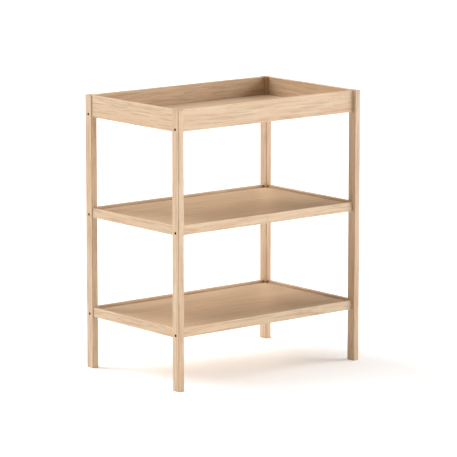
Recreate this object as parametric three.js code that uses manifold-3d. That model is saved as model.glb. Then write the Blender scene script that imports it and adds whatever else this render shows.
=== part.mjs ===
// Changing table in solid beech: four legs, a tray on top and two shelves below it.
// Two end frames (a pair of legs joined by glued rails) are bolted together by the long rails.
//
// Millimetres, +Z up, +X along the length. The front faces -Y. The origin is on the floor,
// under the middle of the table.

import * as THREE from 'three';
import { mergeVertices } from 'three/addons/utils/BufferGeometryUtils.js';
import Module from 'manifold-3d';

// Overall size
const LENGTH = 734;
const DEPTH = 468;
const HEIGHT = 870;

// Room left between pieces that touch
const GAP = 0.3;

// Legs
const LEG_X = 22;
const LEG_Y = 32;
const LEG_ARRIS = 2.5;
const LEG_END_BEVEL = 1;

// Rails
const RAIL_THICKNESS = 12;
const RAIL_ARRIS = 1.5;
const SHELF_RAIL_HEIGHT = 30;
const END_RAIL_SETBACK = 3;
const LONG_RAIL_SETBACK = (LEG_Y - RAIL_THICKNESS) / 2;

// Tiers: the height of the lowest rails above the floor, and the step between tiers
const FIRST_TIER = 166;
const TIER_STEP = 317.5;

// Panels, held in grooves in the rails
const PANEL_THICKNESS = 5;
const SHELF_PANEL_DROP = 8;
const TRAY_PANEL_DROP = 58.5;
const GROOVE_DEPTH = 3;
const GROOVE_STOP = 50;

// Stub tenons of the end rails, glued into the legs
const TENON_THICKNESS = 5;
const TENON_LENGTH = 9;
const TENON_SHOULDER = 5;

// Socket head bolts through the legs, and the barrel nuts they pull on
const BOLT_RISE = 8.5;
const BOLT_DIAMETER = 5;
const BOLT_HEAD_DIAMETER = 8;
const BOLT_HEAD_HEIGHT = 4.8;
const BOLT_LENGTH = 55;
const BOLT_END_ROOM = 2;
const SOCKET_ACROSS_FLATS = 4;
const SOCKET_DEPTH = 2.5;
const COUNTERBORE_DEPTH = 7;
const NUT_DIAMETER = 8;
const NUT_HEIGHT = 12;
const NUT_SETBACK = 35;
const NUT_SLOT_WIDTH = 1.2;
const NUT_SLOT_DEPTH = 1.2;

// Wooden dowels that stop the long rails turning on their bolts
const DOWEL_DIAMETER = 6;
const DOWEL_LENGTH = 30;
const DOWEL_CHAMFER = 0.8;
const DOWEL_IN_LEG = 12;
const SHELF_DOWEL_RISE = 21.5;
const TRAY_DOWEL_RISE = 45;

// Facets of the round shapes
const ROUND_STEPS = 12;
const ARRIS_STEPS = 3;

// Planes that several pieces share, measured from the middle of the table
const LEG_CENTRE_X = (LENGTH - LEG_X) / 2;
const LEG_CENTRE_Y = (DEPTH - LEG_Y) / 2;
const LEG_INNER_X = LENGTH / 2 - LEG_X;
const LEG_INNER_Y = DEPTH / 2 - LEG_Y;
const LONG_RAIL_INNER_Y = DEPTH / 2 - LONG_RAIL_SETBACK - RAIL_THICKNESS;
const END_RAIL_CENTRE_X = LENGTH / 2 - END_RAIL_SETBACK - RAIL_THICKNESS / 2;
const END_RAIL_INNER_X = END_RAIL_CENTRE_X - RAIL_THICKNESS / 2;
const NUT_CENTRE_X = LEG_INNER_X - NUT_SETBACK;
const BOLT_HEAD_BASE_X = LENGTH / 2 - COUNTERBORE_DEPTH + GAP;

const TRAY_BASE = FIRST_TIER + 2 * TIER_STEP;

const TIERS = [
  {
    name: 'lower_shelf',
    base: FIRST_TIER,
    railHeight: SHELF_RAIL_HEIGHT,
    panelDrop: SHELF_PANEL_DROP,
    dowelRise: SHELF_DOWEL_RISE,
  },
  {
    name: 'middle_shelf',
    base: FIRST_TIER + TIER_STEP,
    railHeight: SHELF_RAIL_HEIGHT,
    panelDrop: SHELF_PANEL_DROP,
    dowelRise: SHELF_DOWEL_RISE,
  },
  {
    name: 'tray',
    base: TRAY_BASE,
    railHeight: HEIGHT - TRAY_BASE,
    panelDrop: TRAY_PANEL_DROP,
    dowelRise: TRAY_DOWEL_RISE,
  },
];

// The four corners, as the sides of the table that they are on
const CORNERS = [
  { name: 'front_left', sideX: -1, sideY: -1 },
  { name: 'front_right', sideX: 1, sideY: -1 },
  { name: 'back_left', sideX: -1, sideY: 1 },
  { name: 'back_right', sideX: 1, sideY: 1 },
];

const wasm = await Module();
wasm.setup();

/** The solid that a closed three.js geometry bounds. */
function solidOf(geometry) {
  const bare = geometry.clone();
  bare.deleteAttribute('normal');
  bare.deleteAttribute('uv');
  const welded = mergeVertices(bare);
  const mesh = new wasm.Mesh({
    numProp: 3,
    vertProperties: new Float32Array(welded.attributes.position.array),
    triVerts: new Uint32Array(welded.index.array),
  });
  return new wasm.Manifold(mesh);
}

/** The geometry of a solid's surface. */
function geometryOf(body) {
  const { vertProperties, triVerts } = body.getMesh();
  const geometry = new THREE.BufferGeometry();
  geometry.setAttribute('position', new THREE.BufferAttribute(vertProperties, 3));
  geometry.setIndex(new THREE.BufferAttribute(triVerts, 1));
  geometry.computeVertexNormals();
  return geometry;
}

/** A geometry with each of the tools taken out of it. */
function cut(geometry, tools) {
  return geometryOf(tools.reduce((body, tool) => body.subtract(solidOf(tool)), solidOf(geometry)));
}

/** A geometry joined with others. */
function join(geometry, others) {
  return geometryOf(others.reduce((body, other) => body.add(solidOf(other)), solidOf(geometry)));
}

/** A box from its size and its centre. */
function box([sizeX, sizeY, sizeZ], [x, y, z]) {
  return new THREE.BoxGeometry(sizeX, sizeY, sizeZ).translate(x, y, z);
}

/** A round bar along X, from one x to another, on the axis through y and z. */
function barAlongX(diameter, fromX, toX, y, z, steps = ROUND_STEPS) {
  return new THREE.CylinderGeometry(diameter / 2, diameter / 2, Math.abs(toX - fromX), steps)
    .rotateZ(Math.PI / 2)
    .translate((fromX + toX) / 2, y, z);
}

/** An upright round bar, from one height to another. */
function barAlongZ(diameter, fromZ, toZ, x, y) {
  return new THREE.CylinderGeometry(diameter / 2, diameter / 2, toZ - fromZ, ROUND_STEPS)
    .rotateX(Math.PI / 2)
    .translate(x, y, (fromZ + toZ) / 2);
}

/** A rectangle about the origin with rounded corners. */
function roundedRectangle(width, height, radius) {
  const right = width / 2 - radius;
  const top = height / 2 - radius;
  const shape = new THREE.Shape();
  shape.absarc(right, top, radius, 0, Math.PI / 2);
  shape.absarc(-right, top, radius, Math.PI / 2, Math.PI);
  shape.absarc(-right, -top, radius, Math.PI, 1.5 * Math.PI);
  shape.absarc(right, -top, radius, 1.5 * Math.PI, 2 * Math.PI);
  shape.closePath();
  return shape;
}

/** A straight length of rail along X, about the origin, with eased arrises. */
function railStock(length, height) {
  const section = roundedRectangle(RAIL_THICKNESS, height, RAIL_ARRIS);
  const stock = new THREE.ExtrudeGeometry(section, {
    depth: length,
    bevelEnabled: false,
    curveSegments: ARRIS_STEPS,
  });
  const acrossUpAlong = new THREE.Matrix4().makeBasis(
    new THREE.Vector3(0, 1, 0),
    new THREE.Vector3(0, 0, 1),
    new THREE.Vector3(1, 0, 0),
  );
  return stock.applyMatrix4(acrossUpAlong).translate(-length / 2, 0, 0);
}

/** Height of the middle of a tier's panel above the bottom of its rails. */
function panelRise(tier) {
  return tier.railHeight - tier.panelDrop - PANEL_THICKNESS / 2;
}

/** A leg, from the floor up. Bolts enter its outer face; rails meet its two inner faces. */
function legGeometry(sideX, sideY) {
  const stock = new THREE.ExtrudeGeometry(roundedRectangle(LEG_X, LEG_Y, LEG_ARRIS), {
    depth: HEIGHT - 2 * LEG_END_BEVEL,
    bevelThickness: LEG_END_BEVEL,
    bevelSize: LEG_END_BEVEL,
    bevelOffset: -LEG_END_BEVEL,
    bevelSegments: 1,
    curveSegments: ARRIS_STEPS,
  }).translate(0, 0, LEG_END_BEVEL);

  const outerX = (sideX * LEG_X) / 2;
  const tenonX = sideX * (END_RAIL_CENTRE_X - LEG_CENTRE_X);
  const innerY = (-sideY * LEG_Y) / 2;
  const tools = TIERS.flatMap((tier) => {
    const boltZ = tier.base + BOLT_RISE;
    const boltHole = barAlongX(BOLT_DIAMETER + 2 * GAP, -LEG_X, LEG_X, 0, boltZ);
    const counterbore = barAlongX(
      BOLT_HEAD_DIAMETER + 2 * GAP,
      outerX - sideX * COUNTERBORE_DEPTH,
      outerX + sideX,
      0,
      boltZ,
    );
    const dowelHole = barAlongX(
      DOWEL_DIAMETER + 2 * GAP,
      -outerX + sideX * (DOWEL_IN_LEG + GAP),
      -outerX - sideX,
      0,
      tier.base + tier.dowelRise,
    );
    const mortise = box(
      [
        TENON_THICKNESS + 2 * GAP,
        2 * (TENON_LENGTH + GAP),
        tier.railHeight - 2 * TENON_SHOULDER + 2 * GAP,
      ],
      [tenonX, innerY, tier.base + tier.railHeight / 2],
    );
    return [boltHole, counterbore, dowelHole, mortise];
  });
  return cut(stock, tools);
}

/** A long rail about its own centre, grooved on its inner side and drilled at both ends. */
function longRailGeometry(tier, sideY) {
  const { railHeight, dowelRise } = tier;
  const end = LEG_INNER_X - GAP;
  const bottom = -railHeight / 2;
  const groove = box(
    [2 * (LEG_INNER_X - GROOVE_STOP), 2 * GROOVE_DEPTH, PANEL_THICKNESS + 2 * GAP],
    [0, (-sideY * RAIL_THICKNESS) / 2, bottom + panelRise(tier)],
  );
  const holes = [-1, 1].flatMap((sideX) => [
    barAlongX(
      BOLT_DIAMETER + 2 * GAP,
      sideX * (BOLT_HEAD_BASE_X - BOLT_LENGTH - BOLT_END_ROOM),
      sideX * (end + 1),
      0,
      bottom + BOLT_RISE,
    ),
    barAlongX(
      DOWEL_DIAMETER + 2 * GAP,
      sideX * (LEG_INNER_X + DOWEL_IN_LEG - DOWEL_LENGTH - GAP),
      sideX * (end + 1),
      0,
      bottom + dowelRise,
    ),
    barAlongZ(
      NUT_DIAMETER + 2 * GAP,
      bottom - 1,
      bottom + BOLT_RISE + NUT_HEIGHT / 2 + GAP,
      sideX * NUT_CENTRE_X,
      0,
    ),
  ]);
  return cut(railStock(2 * end, railHeight), [groove, ...holes]);
}

/** An end rail along X about its own centre, with its tenons. Its groove is on the -Y side. */
function endRailGeometry(tier) {
  const { railHeight } = tier;
  const end = LEG_INNER_Y - GAP;
  const tenons = box(
    [2 * (LEG_INNER_Y + TENON_LENGTH), TENON_THICKNESS, railHeight - 2 * TENON_SHOULDER],
    [0, 0, 0],
  );
  const groove = box(
    [2 * end + 2, 2 * GROOVE_DEPTH, PANEL_THICKNESS + 2 * GAP],
    [0, -RAIL_THICKNESS / 2, -railHeight / 2 + panelRise(tier)],
  );
  return join(cut(railStock(2 * end, railHeight), [groove]), [tenons]);
}

/** A panel lying about its own centre, notched round the legs and the stopped grooves. */
function panelGeometry() {
  const endX = END_RAIL_INNER_X + GROOVE_DEPTH - GAP;
  const legX = LEG_INNER_X - GAP;
  const stopX = LEG_INNER_X - GROOVE_STOP - GAP;
  const legY = LEG_INNER_Y - GAP;
  const railY = LONG_RAIL_INNER_Y - GAP;
  const tongueY = LONG_RAIL_INNER_Y + GROOVE_DEPTH - GAP;
  const corner = [
    [endX, legY],
    [legX, legY],
    [legX, railY],
    [stopX, railY],
    [stopX, tongueY],
  ];
  const mirrored = [...corner].reverse();
  const outline = [
    ...corner,
    ...mirrored.map(([x, y]) => [-x, y]),
    ...corner.map(([x, y]) => [-x, -y]),
    ...mirrored.map(([x, y]) => [x, -y]),
  ];
  const shape = new THREE.Shape(outline.map(([x, y]) => new THREE.Vector2(x, y)));
  return new THREE.ExtrudeGeometry(shape, { depth: PANEL_THICKNESS, bevelEnabled: false })
    .translate(0, 0, -PANEL_THICKNESS / 2);
}

/** A socket head bolt along +X, with the underside of its head at the origin. */
function boltGeometry() {
  const head = barAlongX(BOLT_HEAD_DIAMETER, -BOLT_HEAD_HEIGHT, 0, 0, 0);
  const shank = barAlongX(BOLT_DIAMETER, -BOLT_HEAD_HEIGHT / 2, BOLT_LENGTH, 0, 0);
  const acrossCorners = (SOCKET_ACROSS_FLATS * 2) / Math.sqrt(3);
  const socket = barAlongX(
    acrossCorners,
    -BOLT_HEAD_HEIGHT - 1,
    -BOLT_HEAD_HEIGHT + SOCKET_DEPTH,
    0,
    0,
    6,
  );
  return cut(join(head, [shank]), [socket]);
}

/** An upright barrel nut about its own centre, cross drilled, with a slot in its lower end. */
function nutGeometry() {
  const half = NUT_HEIGHT / 2;
  const body = barAlongZ(NUT_DIAMETER, -half, half, 0, 0);
  const bore = barAlongX(BOLT_DIAMETER + 2 * GAP, -NUT_DIAMETER, NUT_DIAMETER, 0, 0);
  const slot = box([2 * NUT_DIAMETER, NUT_SLOT_WIDTH, 2 * NUT_SLOT_DEPTH], [0, 0, -half]);
  return cut(body, [bore, slot]);
}

/** A dowel along X about its own centre, with chamfered ends. */
function dowelGeometry() {
  const radius = DOWEL_DIAMETER / 2;
  const half = DOWEL_LENGTH / 2;
  const profile = [
    [0, -half],
    [radius - DOWEL_CHAMFER, -half],
    [radius, -half + DOWEL_CHAMFER],
    [radius, half - DOWEL_CHAMFER],
    [radius - DOWEL_CHAMFER, half],
    [0, half],
  ].map(([r, along]) => new THREE.Vector2(r, along));
  return new THREE.LatheGeometry(profile, ROUND_STEPS).rotateZ(Math.PI / 2);
}

/** A plain material of one finish. */
function material(color, roughness, metalness) {
  return new THREE.MeshStandardMaterial({ color, roughness, metalness });
}

const beech = () => material(0xe0c4a7, 0.55, 0);
const veneer = () => material(0xcdae90, 0.5, 0);
const dowelWood = () => material(0xd8b88f, 0.7, 0);
const blackSteel = () => material(0x1b1a19, 0.45, 0.8);
const zincSteel = () => material(0xb6b4af, 0.35, 1);

/** A named piece, put at a place in its group. */
function piece(name, geometry, finish, x, y, z) {
  const mesh = new THREE.Mesh(geometry, finish);
  mesh.name = name;
  mesh.position.set(x, y, z);
  return mesh;
}

/** The four legs. */
function legs() {
  const group = new THREE.Group();
  for (const { name, sideX, sideY } of CORNERS) {
    const geometry = legGeometry(sideX, sideY);
    group.add(piece(`leg_${name}`, geometry, beech(), sideX * LEG_CENTRE_X, sideY * LEG_CENTRE_Y, 0));
  }
  return group;
}

/** The rails of one tier, standing on the tier's base. */
function tierRails(tier) {
  const group = new THREE.Group();
  const middle = tier.railHeight / 2;
  for (const [side, sideY] of [['front', -1], ['back', 1]]) {
    const geometry = longRailGeometry(tier, sideY);
    group.add(piece(`${tier.name}_rail_${side}`, geometry, beech(), 0, sideY * LEG_CENTRE_Y, middle));
  }
  for (const [side, sideX] of [['left', -1], ['right', 1]]) {
    const geometry = endRailGeometry(tier);
    const x = sideX * END_RAIL_CENTRE_X;
    const rail = piece(`${tier.name}_rail_${side}`, geometry, beech(), x, 0, middle);
    rail.rotation.z = (-sideX * Math.PI) / 2;
    group.add(rail);
  }
  return group;
}

/** The bolt, barrel nut and dowel at each corner of one tier. */
function tierFittings(tier) {
  const group = new THREE.Group();
  for (const { name, sideX, sideY } of CORNERS) {
    const y = sideY * LEG_CENTRE_Y;
    const boltX = sideX * BOLT_HEAD_BASE_X;
    const nutX = sideX * NUT_CENTRE_X;
    const dowelX = sideX * (LEG_INNER_X + DOWEL_IN_LEG - DOWEL_LENGTH / 2);
    const bolt = piece(`${tier.name}_bolt_${name}`, boltGeometry(), blackSteel(), boltX, y, BOLT_RISE);
    bolt.rotation.z = sideX > 0 ? Math.PI : 0;
    group.add(
      bolt,
      piece(`${tier.name}_nut_${name}`, nutGeometry(), zincSteel(), nutX, y, BOLT_RISE),
      piece(`${tier.name}_dowel_${name}`, dowelGeometry(), dowelWood(), dowelX, y, tier.dowelRise),
    );
  }
  return group;
}

/** One tier: its rails, its panel and its fittings, in a group at the tier's height. */
function tierGroup(tier) {
  const group = new THREE.Group();
  group.position.z = tier.base;
  group.add(tierRails(tier));
  group.add(piece(`${tier.name}_panel`, panelGeometry(), veneer(), 0, 0, panelRise(tier)));
  group.add(tierFittings(tier));
  return group;
}

const table = new THREE.Group();
table.add(legs());
for (const tier of TIERS) {
  table.add(tierGroup(tier));
}

export default table;
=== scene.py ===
"""Looks of the changing table: milled beech boards, veneered panels and their steel fittings.

One Geometry Nodes tree mills every board: it sweeps a rounded section along the board, joins its
tenons and cuts its holes, mortises and grooves. Three more trees turn the bolts, the barrel nuts
and the dowels. Lengths are in metres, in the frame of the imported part.
"""

import logging
import math
import random
from dataclasses import dataclass, field
from enum import Enum, IntEnum
from typing import Any, Iterable, Mapping, Optional, Sequence, Union

import bmesh
import bpy
from mathutils import Euler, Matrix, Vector


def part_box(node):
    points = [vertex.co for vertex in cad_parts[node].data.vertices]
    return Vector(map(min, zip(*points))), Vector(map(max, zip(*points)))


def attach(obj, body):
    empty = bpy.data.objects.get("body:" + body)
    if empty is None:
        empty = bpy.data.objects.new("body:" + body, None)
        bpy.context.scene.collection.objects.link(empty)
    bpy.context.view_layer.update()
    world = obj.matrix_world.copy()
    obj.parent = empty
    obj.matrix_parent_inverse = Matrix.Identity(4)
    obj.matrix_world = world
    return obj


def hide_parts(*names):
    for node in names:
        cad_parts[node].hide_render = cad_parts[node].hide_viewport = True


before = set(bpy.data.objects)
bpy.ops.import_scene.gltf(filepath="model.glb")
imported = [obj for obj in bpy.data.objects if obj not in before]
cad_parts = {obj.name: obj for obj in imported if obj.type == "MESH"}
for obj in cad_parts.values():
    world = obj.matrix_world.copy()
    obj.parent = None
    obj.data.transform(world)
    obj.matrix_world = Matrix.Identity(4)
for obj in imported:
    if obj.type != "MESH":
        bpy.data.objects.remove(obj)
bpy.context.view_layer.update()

LOG = logging.getLogger("changing_table")
BODY = "root"
MM = 0.001
NUDGE = 1.0 * MM  # how far a tool starts outside the face that it cuts
WELD = 0.001 * MM  # vertices nearer than this become one
QUARTER = math.pi / 2

Number = Union[int, float]
Value = Union["Field", Number, Sequence[float]]
Triple = tuple[float, float, float]


class Axis(Enum):
    """The axis of the frame that a board's length and grain run along."""

    X = 0
    Y = 1
    Z = 2

    @property
    def unit(self) -> tuple[float, ...]:
        """The axis as a unit vector."""
        return tuple(1.0 if part == self.value else 0.0 for part in range(3))

    @property
    def section(self) -> tuple[int, int]:
        """Which sides of an upright box are the board's width and thickness."""
        return ((2, 1), (0, 2), (0, 1))[self.value]

    @property
    def laid(self) -> Triple:
        """Euler angles that lay a board built along Z onto this axis."""
        return ((0.0, QUARTER, 0.0), (-QUARTER, 0.0, 0.0), (0.0, 0.0, 0.0))[self.value]

    @property
    def to_grain(self) -> Triple:
        """Euler angles that turn this axis onto X, where the wood's pattern has its grain."""
        return ((0.0, 0.0, 0.0), (0.0, 0.0, -QUARTER), (0.0, QUARTER, 0.0))[self.value]


class Tier(Enum):
    """The levels of the table, by the words that start their node names."""

    LOWER_SHELF = "lower_shelf"
    MIDDLE_SHELF = "middle_shelf"
    TRAY = "tray"

    def node(self, part: str) -> str:
        """The name of one of the level's nodes."""
        return f"{self.value}_{part}"


class Corner(Enum):
    """The corners of the table, by the words that end their node names."""

    FRONT_LEFT = "front_left"
    FRONT_RIGHT = "front_right"
    BACK_LEFT = "back_left"
    BACK_RIGHT = "back_right"

    @property
    def side_x(self) -> int:
        """-1 on the left, 1 on the right."""
        return 1 if self.value.endswith("right") else -1

    @property
    def side_y(self) -> int:
        """-1 at the front, 1 at the back."""
        return 1 if self.value.startswith("back") else -1


class Slot(Enum):
    """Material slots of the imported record."""

    BEECH = "beech"
    VENEER = "panel_veneer"
    DOWEL = "dowel_wood"
    BLACK_STEEL = "black_steel"
    ZINC_STEEL = "zinc_steel"


class Work(IntEnum):
    """What a mark on a board asks for."""

    DRILL = 0
    POCKET = 1
    COUNTERSINK = 2
    TENON = 3


# ---------------------------------------------------------------------------------------------
# Node graphs
# ---------------------------------------------------------------------------------------------


class Field:
    """A node's output socket that Python's operators work on."""

    def __init__(self, graph: "Graph", socket: bpy.types.NodeSocket) -> None:
        """Wraps a socket.

        Args:
            graph: the graph that the socket's node is in.
            socket: the output socket.
        """
        self.graph = graph
        self.socket = socket

    @property
    def is_vector(self) -> bool:
        """Whether the socket carries three numbers."""
        return self.socket.type in {"VECTOR", "RGBA"}

    def _pair(self, operation: str, first: Value, second: Value) -> "Field":
        """Works on two values, by Vector Math where one of them is a vector.

        Args:
            operation: the node's operation.
            first: its first input.
            second: its second input.

        Returns:
            The result.
        """
        vectors = [value for value in (first, second) if _is_vector(value)]
        if not vectors:
            return self.graph.maths(operation, first, second)
        if operation == "MULTIPLY" and len(vectors) == 1:
            number = second if vectors[0] is first else first
            return self.graph.vector("SCALE", vectors[0], scale=number)
        return self.graph.vector(operation, first, second)

    def __add__(self, other: Value) -> "Field":
        """self + other."""
        return self._pair("ADD", self, other)

    def __radd__(self, other: Value) -> "Field":
        """other + self."""
        return self._pair("ADD", other, self)

    def __sub__(self, other: Value) -> "Field":
        """self - other."""
        return self._pair("SUBTRACT", self, other)

    def __rsub__(self, other: Value) -> "Field":
        """other - self."""
        return self._pair("SUBTRACT", other, self)

    def __mul__(self, other: Value) -> "Field":
        """self * other."""
        return self._pair("MULTIPLY", self, other)

    def __rmul__(self, other: Value) -> "Field":
        """other * self."""
        return self._pair("MULTIPLY", other, self)

    def __truediv__(self, other: Value) -> "Field":
        """self / other."""
        return self._pair("DIVIDE", self, other)

    def __rtruediv__(self, other: Value) -> "Field":
        """other / self."""
        return self._pair("DIVIDE", other, self)

    def __neg__(self) -> "Field":
        """-self."""
        return self * -1.0

    def __abs__(self) -> "Field":
        """abs(self)."""
        return self._pair("ABSOLUTE", self, 0.0)


def _is_vector(value: Value) -> bool:
    """Whether a value is a vector socket or three plain numbers."""
    return value.is_vector if isinstance(value, Field) else not isinstance(value, (int, float))


class Outputs:
    """The outputs of one node."""

    def __init__(self, graph: "Graph", node: bpy.types.Node) -> None:
        """Wraps a node.

        Args:
            graph: the graph that the node is in.
            node: the node.
        """
        self.graph = graph
        self.node = node

    def __getitem__(self, key: Union[int, str]) -> Field:
        """The output of that name or place, as a field."""
        return Field(self.graph, self.node.outputs[key])


class Graph:
    """A node tree that is built by calls."""

    def __init__(self, tree: bpy.types.NodeTree) -> None:
        """Takes a tree over.

        Args:
            tree: the tree to fill, which is emptied first.
        """
        self.tree = tree
        self.tree.nodes.clear()

    def add(
        self,
        kind: str,
        settings: Optional[Mapping[str, Any]] = None,
        inputs: Optional[Mapping[Union[int, str], Any]] = None,
    ) -> Outputs:
        """Adds one node.

        Args:
            kind: the node's type.
            settings: the node's own properties; "choices" is how many items an Index Switch has.
            inputs: what each input socket holds, by its name or place: a field, a list of
                fields for a socket that takes several, or a plain value.

        Returns:
            The node's outputs.
        """
        node = self.tree.nodes.new(kind)
        for key, value in (settings or {}).items():
            if key == "choices":
                while len(node.index_switch_items) < value:
                    node.index_switch_items.new()
            else:
                setattr(node, key, value)
        for key, value in (inputs or {}).items():
            for one in value if isinstance(value, list) else [value]:
                if isinstance(one, Field):
                    self.tree.links.new(one.socket, node.inputs[key])
                else:
                    node.inputs[key].default_value = one
        return Outputs(self, node)

    def maths(self, operation: str, *values: Value, clamp: bool = False) -> Field:
        """Adds one Math node.

        Args:
            operation: the node's operation.
            *values: its inputs, in order.
            clamp: whether the result is held between 0 and 1.

        Returns:
            The result.
        """
        settings = {"operation": operation, "use_clamp": clamp}
        return self.add("ShaderNodeMath", settings, dict(enumerate(values)))["Value"]

    def vector(self, operation: str, *values: Value, scale: Optional[Value] = None) -> Field:
        """Adds one Vector Math node.

        Args:
            operation: the node's operation.
            *values: its vector inputs, in order; a plain number stands for three of it.
            scale: the number that SCALE multiplies by.

        Returns:
            The result, which is a number for LENGTH and DOT_PRODUCT.
        """
        inputs: dict[Union[int, str], Any] = {
            place: (value,) * 3 if isinstance(value, (int, float)) else value
            for place, value in enumerate(values)
        }
        if scale is not None:
            inputs["Scale"] = scale
        made = self.add("ShaderNodeVectorMath", {"operation": operation}, inputs)
        return made["Value" if operation in {"LENGTH", "DOT_PRODUCT"} else "Vector"]

    def split(self, vector: Field) -> tuple[Field, Field, Field]:
        """The three parts of a vector."""
        parts = self.add("ShaderNodeSeparateXYZ", inputs={0: vector})
        return parts["X"], parts["Y"], parts["Z"]

    def combine(self, x: Value, y: Value, z: Value) -> Field:
        """A vector from its three parts."""
        return self.add("ShaderNodeCombineXYZ", inputs={0: x, 1: y, 2: z})["Vector"]


class ShaderGraph(Graph):
    """The node tree of one material."""

    def __init__(self, name: str) -> None:
        """Starts an empty material.

        Args:
            name: the material's name.
        """
        self.material = bpy.data.materials.new(name)
        self.material.use_nodes = True
        super().__init__(self.material.node_tree)

    def noise(
        self,
        place: Value,
        scale: float = 1.0,
        detail: float = 2.0,
        roughness: float = 0.5,
        dimensions: str = "3D",
    ) -> Field:
        """Smooth noise between 0 and 1.

        Args:
            place: the point that it is read at, or one number where dimensions is 1D.
            scale: how many cells there are to a unit of place.
            detail: how many finer octaves there are.
            roughness: how strong the finer octaves are.
            dimensions: 1D or 3D.

        Returns:
            The noise.
        """
        inputs = {
            "W" if dimensions == "1D" else "Vector": place,
            "Scale": scale,
            "Detail": detail,
            "Roughness": roughness,
        }
        return self.add("ShaderNodeTexNoise", {"noise_dimensions": dimensions}, inputs)[0]

    def step(self, value: Value, low: float, high: float) -> Field:
        """A smooth step, from 0 at low to 1 at high."""
        inputs = {"Value": value, "From Min": low, "From Max": high}
        return self.add("ShaderNodeMapRange", {"interpolation_type": "SMOOTHSTEP"}, inputs)[0]

    def mix(self, amount: Value, first: Value, second: Value) -> Field:
        """Mixes one colour into another.

        Args:
            amount: how much of the second colour, from 0 to 1.
            first: the first colour.
            second: the second colour.

        Returns:
            The mixed colour.
        """
        settings = {"data_type": "RGBA", "clamp_factor": True}
        colours = [c if isinstance(c, Field) else (*c, 1.0) for c in (first, second)]
        return self.add("ShaderNodeMix", settings, {0: amount, 6: colours[0], 7: colours[1]})[2]

    def layered(self, colour: Value, *layers: tuple[Value, Value]) -> Value:
        """Lays colours over another one, in order.

        Args:
            colour: the colour at the bottom.
            *layers: how much of each colour to lay on, from 0 to 1, and the colour.

        Returns:
            The colour on top.
        """
        for amount, over in layers:
            colour = self.mix(amount, colour, over)
        return colour

    def bump(self, height: Field, distance: float, strength: float) -> Field:
        """A normal that stands for relief.

        Args:
            height: the relief's height, from 0 to 1.
            distance: how deep the relief is.
            strength: how much of it shows.

        Returns:
            The normal.
        """
        inputs = {"Height": height, "Distance": distance, "Strength": strength}
        return self.add("ShaderNodeBump", inputs=inputs)["Normal"]

    def finish(self, **sockets: Any) -> bpy.types.Material:
        """Ends the graph in a Principled BSDF.

        Args:
            **sockets: its inputs, with _ for the spaces in their names.

        Returns:
            The material.
        """
        inputs = {key.replace("_", " "): value for key, value in sockets.items()}
        shader = self.add("ShaderNodeBsdfPrincipled", inputs=inputs)["BSDF"]
        self.add("ShaderNodeOutputMaterial", inputs={"Surface": shader})
        return self.material


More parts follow.
